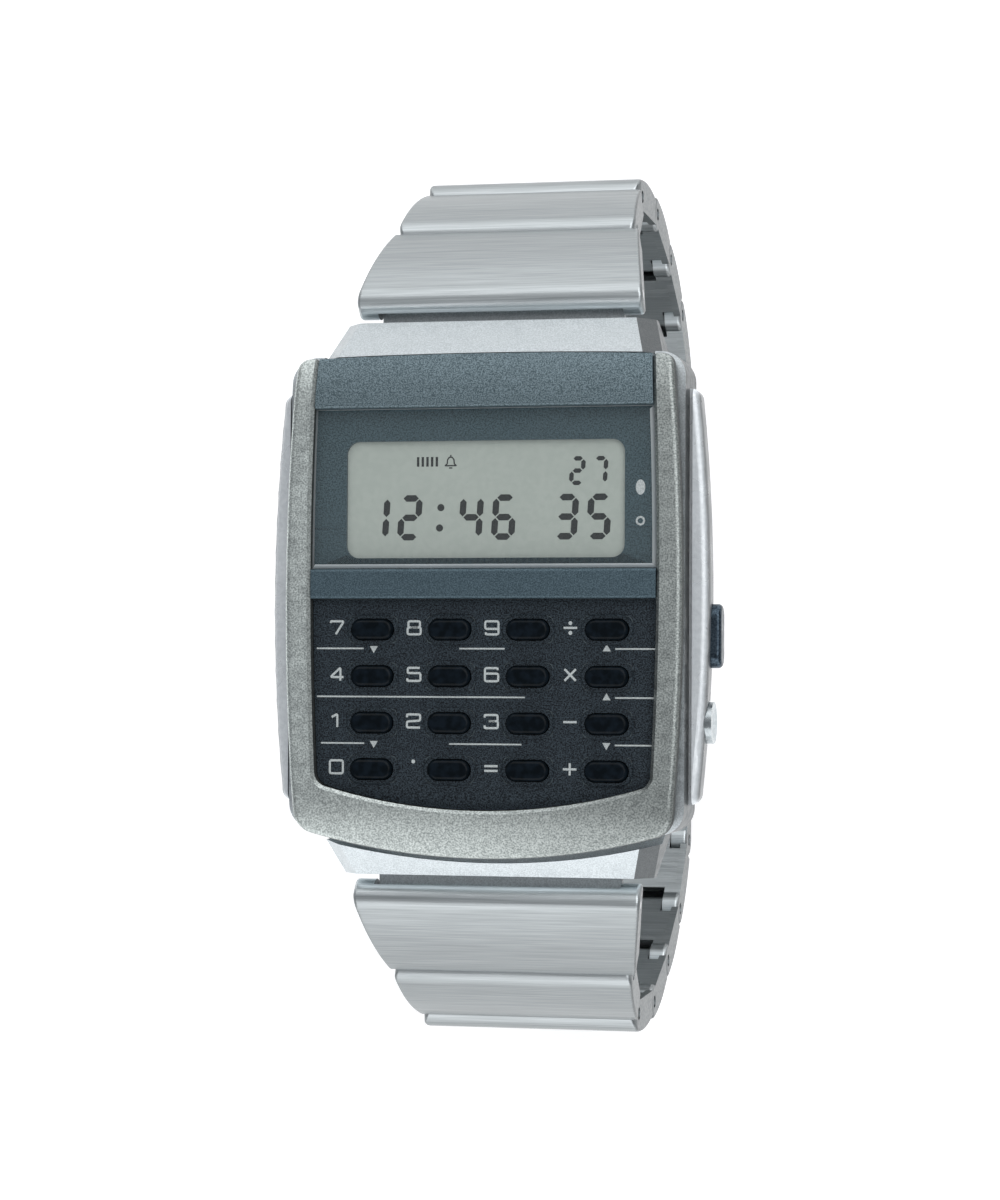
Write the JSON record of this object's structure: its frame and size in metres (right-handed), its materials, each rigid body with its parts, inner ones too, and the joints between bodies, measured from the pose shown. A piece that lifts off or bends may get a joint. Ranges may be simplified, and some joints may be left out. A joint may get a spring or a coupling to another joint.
{
  "type": "calculator watch",
  "caption": "Digital calculator wristwatch with a rounded bezel, display window and pill-shaped keys, on a folded-link steel bracelet closed by a hooked clasp.",
  "frame": {"origin": "on the clasp's flat outer face, below the middle of the dial", "axes": "+X towards 3 o'clock, +Y towards 12 o'clock, +Z out of the dial"},
  "size_m": [0.0352, 0.07, 0.0473],
  "materials": {
    "blasted_steel": "fine bead-blasted silver grey",
    "case_steel": "light bead-blasted silver",
    "polished_steel": "polished",
    "link_steel": "brushed across the band, bright folded edges",
    "pin_steel": "turned and polished",
    "slate_strip": "dark slate with a fine grain",
    "slate_mask": "dark slate print behind the glass",
    "clear_glass": "clear, polished",
    "lcd_glass": "grey-green liquid crystal cell",
    "reflector_foil": "satin reflector film",
    "black_plate": "near black with a fine grain",
    "black_key": "glossy black",
    "black_rubber": "matt",
    "zebra_rubber": "striped conductive rubber",
    "board_green": "solder resist",
    "module_plastic": "moulded",
    "chip_black": "moulded",
    "can_metal": "drawn can",
    "cell_steel": "satin",
    "spring_steel": "bare sheet",
    "buzzer_brass": "bare",
    "dark_pusher": "dark satin"
  },
  "bodies": {
    "head": {"case_body": "case_steel", "bezel": "blasted_steel", "top_strip": "slate_strip", "divider_strip": "slate_strip", "crystal": "clear_glass", "display_mask": "slate_mask", "lcd_cell": "lcd_glass", "lcd_reflector": "reflector_foil", "lcd_connectors": "zebra_rubber", "keypad_plate": "black_plate", "keypad_mat": "black_rubber", "circuit_board": "board_green", "chip": "chip_black", "quartz_can": "can_metal", "module_frame": "module_plastic", "battery": "cell_steel", "battery_clip": "spring_steel", "buzzer_disc": "buzzer_brass", "back_gasket": "black_rubber", "case_back": "link_steel", "case_back_screws": "pin_steel", "side_rail_right": "polished_steel", "side_rail_left": "polished_steel", "pusher_seals": "black_rubber"},
    "key_7": {"key_7": "black_key"},
    "key_8": {"key_8": "black_key"},
    "key_9": {"key_9": "black_key"},
    "key_divide": {"key_divide": "black_key"},
    "key_4": {"key_4": "black_key"},
    "key_5": {"key_5": "black_key"},
    "key_6": {"key_6": "black_key"},
    "key_times": {"key_times": "black_key"},
    "key_1": {"key_1": "black_key"},
    "key_2": {"key_2": "black_key"},
    "key_3": {"key_3": "black_key"},
    "key_minus": {"key_minus": "black_key"},
    "key_0": {"key_0": "black_key"},
    "key_point": {"key_point": "black_key"},
    "key_equals": {"key_equals": "black_key"},
    "key_plus": {"key_plus": "black_key"},
    "mode_pusher": {"mode_pusher": "dark_pusher"},
    "adjust_pusher": {"adjust_pusher": "polished_steel"},
    "link_12_1": {"link_12_1": "link_steel", "spring_bar_12": "pin_steel"},
    "link_12_2": {"link_12_2": "link_steel"},
    "link_12_3": {"link_12_3": "link_steel"},
    "link_12_4": {"link_12_4": "link_steel"},
    "link_12_5": {"link_12_5": "link_steel"},
    "link_12_6": {"link_12_6": "link_steel", "clasp_bar": "pin_steel"},
    "link_6_1": {"link_6_1": "link_steel", "spring_bar_6": "pin_steel"},
    "link_6_2": {"link_6_2": "link_steel"},
    "link_6_3": {"link_6_3": "link_steel"},
    "link_6_4": {"link_6_4": "link_steel"},
    "link_6_5": {"link_6_5": "link_steel"},
    "link_6_6": {"link_6_6": "link_steel"},
    "clasp_body": {"clasp_body": "link_steel", "clasp_cover_pin": "pin_steel"},
    "clasp_cover": {"clasp_cover": "link_steel"}
  },
  "joints": [
    {"name": "key_7_press", "type": "slide", "parent": "head", "child": "key_7", "axis": [0, 0, -1], "range_m": [0, 0.00035], "stiffness_N_per_m": 500, "springref_m": -0.0005},
    {"name": "key_8_press", "type": "slide", "parent": "head", "child": "key_8", "axis": [0, 0, -1], "range_m": [0, 0.00035], "stiffness_N_per_m": 500, "springref_m": -0.0005},
    {"name": "key_9_press", "type": "slide", "parent": "head", "child": "key_9", "axis": [0, 0, -1], "range_m": [0, 0.00035], "stiffness_N_per_m": 500, "springref_m": -0.0005},
    {"name": "key_divide_press", "type": "slide", "parent": "head", "child": "key_divide", "axis": [0, 0, -1], "range_m": [0, 0.00035], "stiffness_N_per_m": 500, "springref_m": -0.0005},
    {"name": "key_4_press", "type": "slide", "parent": "head", "child": "key_4", "axis": [0, 0, -1], "range_m": [0, 0.00035], "stiffness_N_per_m": 500, "springref_m": -0.0005},
    {"name": "key_5_press", "type": "slide", "parent": "head", "child": "key_5", "axis": [0, 0, -1], "range_m": [0, 0.00035], "stiffness_N_per_m": 500, "springref_m": -0.0005},
    {"name": "key_6_press", "type": "slide", "parent": "head", "child": "key_6", "axis": [0, 0, -1], "range_m": [0, 0.00035], "stiffness_N_per_m": 500, "springref_m": -0.0005},
    {"name": "key_times_press", "type": "slide", "parent": "head", "child": "key_times", "axis": [0, 0, -1], "range_m": [0, 0.00035], "stiffness_N_per_m": 500, "springref_m": -0.0005},
    {"name": "key_1_press", "type": "slide", "parent": "head", "child": "key_1", "axis": [0, 0, -1], "range_m": [0, 0.00035], "stiffness_N_per_m": 500, "springref_m": -0.0005},
    {"name": "key_2_press", "type": "slide", "parent": "head", "child": "key_2", "axis": [0, 0, -1], "range_m": [0, 0.00035], "stiffness_N_per_m": 500, "springref_m": -0.0005},
    {"name": "key_3_press", "type": "slide", "parent": "head", "child": "key_3", "axis": [0, 0, -1], "range_m": [0, 0.00035], "stiffness_N_per_m": 500, "springref_m": -0.0005},
    {"name": "key_minus_press", "type": "slide", "parent": "head", "child": "key_minus", "axis": [0, 0, -1], "range_m": [0, 0.00035], "stiffness_N_per_m": 500, "springref_m": -0.0005},
    {"name": "key_0_press", "type": "slide", "parent": "head", "child": "key_0", "axis": [0, 0, -1], "range_m": [0, 0.00035], "stiffness_N_per_m": 500, "springref_m": -0.0005},
    {"name": "key_point_press", "type": "slide", "parent": "head", "child": "key_point", "axis": [0, 0, -1], "range_m": [0, 0.00035], "stiffness_N_per_m": 500, "springref_m": -0.0005},
    {"name": "key_equals_press", "type": "slide", "parent": "head", "child": "key_equals", "axis": [0, 0, -1], "range_m": [0, 0.00035], "stiffness_N_per_m": 500, "springref_m": -0.0005},
    {"name": "key_plus_press", "type": "slide", "parent": "head", "child": "key_plus", "axis": [0, 0, -1], "range_m": [0, 0.00035], "stiffness_N_per_m": 500, "springref_m": -0.0005},
    {"name": "mode_pusher_press", "type": "slide", "parent": "head", "child": "mode_pusher", "axis": [-1, 0, 0], "range_m": [0, 0.0005], "stiffness_N_per_m": 1500, "springref_m": -0.0005},
    {"name": "adjust_pusher_press", "type": "slide", "parent": "head", "child": "adjust_pusher", "axis": [-1, 0, 0], "range_m": [0, 0.0005], "stiffness_N_per_m": 1500, "springref_m": -0.0005},
    {"name": "link_12_1_hinge", "type": "hinge", "parent": "head", "child": "link_12_1", "pos_m": [0, 0.0235, 0.04033], "axis": [1, 0, 0], "range_deg": [0, 40]},
    {"name": "link_12_2_hinge", "type": "hinge", "parent": "link_12_1", "child": "link_12_2", "pos_m": [0, 0.02961, 0.034], "axis": [1, 0, 0], "range_deg": [0, 14]},
    {"name": "link_12_3_hinge", "type": "hinge", "parent": "link_12_2", "child": "link_12_3", "pos_m": [0, 0.03341, 0.02742], "axis": [1, 0, 0], "range_deg": [0, 32]},
    {"name": "link_12_4_hinge", "type": "hinge", "parent": "link_12_3", "child": "link_12_4", "pos_m": [0, 0.03315, 0.01983], "axis": [1, 0, 0], "range_deg": [0, 20]},
    {"name": "link_12_5_hinge", "type": "hinge", "parent": "link_12_4", "child": "link_12_5", "pos_m": [0, 0.0303, 0.01278], "axis": [1, 0, 0], "range_deg": [0, 10]},
    {"name": "link_12_6_hinge", "type": "hinge", "parent": "link_12_5", "child": "link_12_6", "pos_m": [0, 0.02627, 0.00634], "axis": [1, 0, 0], "range_deg": [0, 18]},
    {"name": "link_6_1_hinge", "type": "hinge", "parent": "head", "child": "link_6_1", "pos_m": [0, -0.0235, 0.04033], "axis": [-1, 0, 0], "range_deg": [0, 40]},
    {"name": "link_6_2_hinge", "type": "hinge", "parent": "link_6_1", "child": "link_6_2", "pos_m": [0, -0.02961, 0.034], "axis": [-1, 0, 0], "range_deg": [0, 14]},
    {"name": "link_6_3_hinge", "type": "hinge", "parent": "link_6_2", "child": "link_6_3", "pos_m": [0, -0.03341, 0.02742], "axis": [-1, 0, 0], "range_deg": [0, 32]},
    {"name": "link_6_4_hinge", "type": "hinge", "parent": "link_6_3", "child": "link_6_4", "pos_m": [0, -0.03315, 0.01983], "axis": [-1, 0, 0], "range_deg": [0, 20]},
    {"name": "link_6_5_hinge", "type": "hinge", "parent": "link_6_4", "child": "link_6_5", "pos_m": [0, -0.0303, 0.01278], "axis": [-1, 0, 0], "range_deg": [0, 10]},
    {"name": "link_6_6_hinge", "type": "hinge", "parent": "link_6_5", "child": "link_6_6", "pos_m": [0, -0.02627, 0.00634], "axis": [-1, 0, 0], "range_deg": [0, 18]},
    {"name": "clasp_hinge", "type": "hinge", "parent": "link_6_6", "child": "clasp_body", "pos_m": [0, -0.02045, 0.00145], "axis": [-1, 0, 0], "range_deg": [0, 40]},
    {"name": "clasp_cover_hinge", "type": "hinge", "parent": "clasp_body", "child": "clasp_cover", "pos_m": [0, -0.01595, 0.00095], "axis": [-1, 0, 0], "range_deg": [0, 110]}
  ]
}
